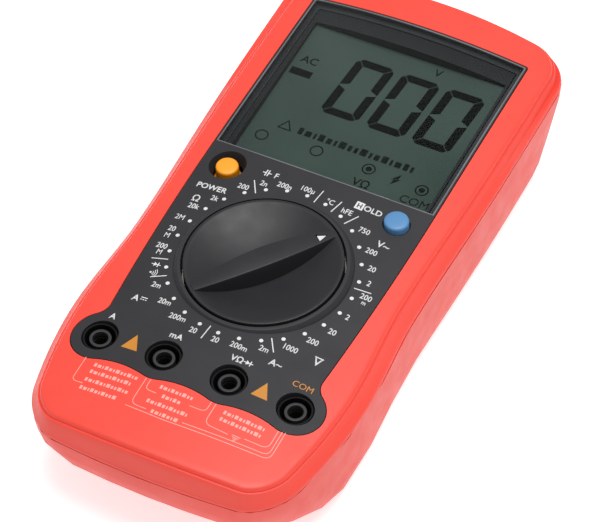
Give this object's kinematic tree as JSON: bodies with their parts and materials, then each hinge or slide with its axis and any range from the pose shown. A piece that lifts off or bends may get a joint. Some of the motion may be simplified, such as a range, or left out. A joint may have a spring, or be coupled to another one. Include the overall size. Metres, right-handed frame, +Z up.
{
  "type": "digital multimeter",
  "caption": "Handheld digital multimeter with a two-part waisted case, domed panel, LCD window, rotary selector, push buttons, a row of input sockets and a folding tilt stand.",
  "frame": {"origin": "under the middle of the case, in the plane of its flat back", "axes": "+Z up, out of the face, with the meter lying on its back; +Y from the input sockets to the display; +X to the right of someone reading the display"},
  "size_m": [0.0868, 0.1802, 0.0388],
  "materials": {
    "case_red": "satin, fine moulded grain",
    "panel_grey": "fine matt texture",
    "window_clear": "clear acrylic, polished",
    "bezel_black": "gloss",
    "lcd_green": "grey-green reflective display",
    "elastomer": "matt",
    "knob_grey": "satin",
    "print_white": "matt",
    "rotor_ivory": "satin",
    "spring_steel": "bright",
    "contact_brass": "bright",
    "button_yellow": "satin",
    "button_blue": "satin",
    "switch_black": "matt",
    "jack_black": "satin",
    "board_green": "solder-masked laminate",
    "chip_black": "matt",
    "fuse_glass": "clear",
    "shunt_alloy": "drawn wire",
    "battery_jacket": "printed steel jacket",
    "lead_red": "extruded sheath",
    "lead_black": "extruded sheath",
    "screw_steel": "zinc plated"
  },
  "bodies": {
    "case": {"front_case": "case_red", "rear_case": "case_red", "battery_door": "case_red", "front_panel": "panel_grey", "display_window": "window_clear", "display_bezel": "bezel_black", "lcd_glass": "lcd_green", "zebra_strip_lower": "elastomer", "zebra_strip_upper": "elastomer", "detent_ring": "rotor_ivory", "fuse_cap_left": "spring_steel", "fuse_clip_left": "contact_brass", "fuse_cap_right": "spring_steel", "fuse_clip_right": "contact_brass", "power_switch": "switch_black", "hold_switch": "switch_black", "jack_sleeve_amps": "jack_black", "jack_contact_amps": "contact_brass", "jack_sleeve_milliamps": "jack_black", "jack_contact_milliamps": "contact_brass", "jack_sleeve_volts_ohms": "jack_black", "jack_contact_volts_ohms": "contact_brass", "jack_sleeve_common": "jack_black", "jack_contact_common": "contact_brass", "main_board": "board_green", "processor_chip": "chip_black", "trimmer": "button_blue", "buzzer": "contact_brass", "fuse_tube": "fuse_glass", "shunt_wire": "shunt_alloy", "battery": "battery_jacket", "battery_terminal_positive": "spring_steel", "battery_terminal_negative": "spring_steel", "battery_snap": "chip_black", "battery_lead_red": "lead_red", "battery_lead_black": "lead_black", "case_screw_1": "screw_steel", "case_screw_2": "screw_steel", "case_screw_3": "screw_steel", "case_screw_4": "screw_steel", "board_screw_1": "screw_steel", "board_screw_2": "screw_steel", "board_screw_3": "screw_steel", "door_screw": "screw_steel"},
    "selector": {"selector_knob": "knob_grey", "knob_pointer": "print_white", "switch_rotor": "rotor_ivory", "detent_ball_left": "spring_steel", "detent_ball_right": "spring_steel", "detent_spring_left": "spring_steel", "detent_spring_right": "spring_steel", "switch_wiper_1": "contact_brass", "switch_wiper_2": "contact_brass", "switch_wiper_3": "contact_brass"},
    "power_button": {"power_button": "button_yellow", "power_plunger": "rotor_ivory"},
    "hold_button": {"hold_button": "button_blue"},
    "tilt_stand": {"tilt_stand": "case_red"}
  },
  "joints": [
    {"name": "selector_turn", "type": "hinge", "parent": "case", "child": "selector", "pos_m": [0, -0.0199, 0.036], "axis": [0, 0, 1], "continuous": true},
    {"name": "power_press", "type": "slide", "parent": "case", "child": "power_button", "axis": [0, 0, -1], "range_m": [0, 0.0014], "stiffness_N_per_m": 400, "springref_m": -0.001},
    {"name": "hold_press", "type": "slide", "parent": "case", "child": "hold_button", "axis": [0, 0, -1], "range_m": [0, 0.001], "stiffness_N_per_m": 500, "springref_m": -0.0008},
    {"name": "stand_swing", "type": "hinge", "parent": "case", "child": "tilt_stand", "pos_m": [0, 0.0345, 0.0026], "axis": [1, 0, 0], "range_deg": [0, 60]}
  ]
}
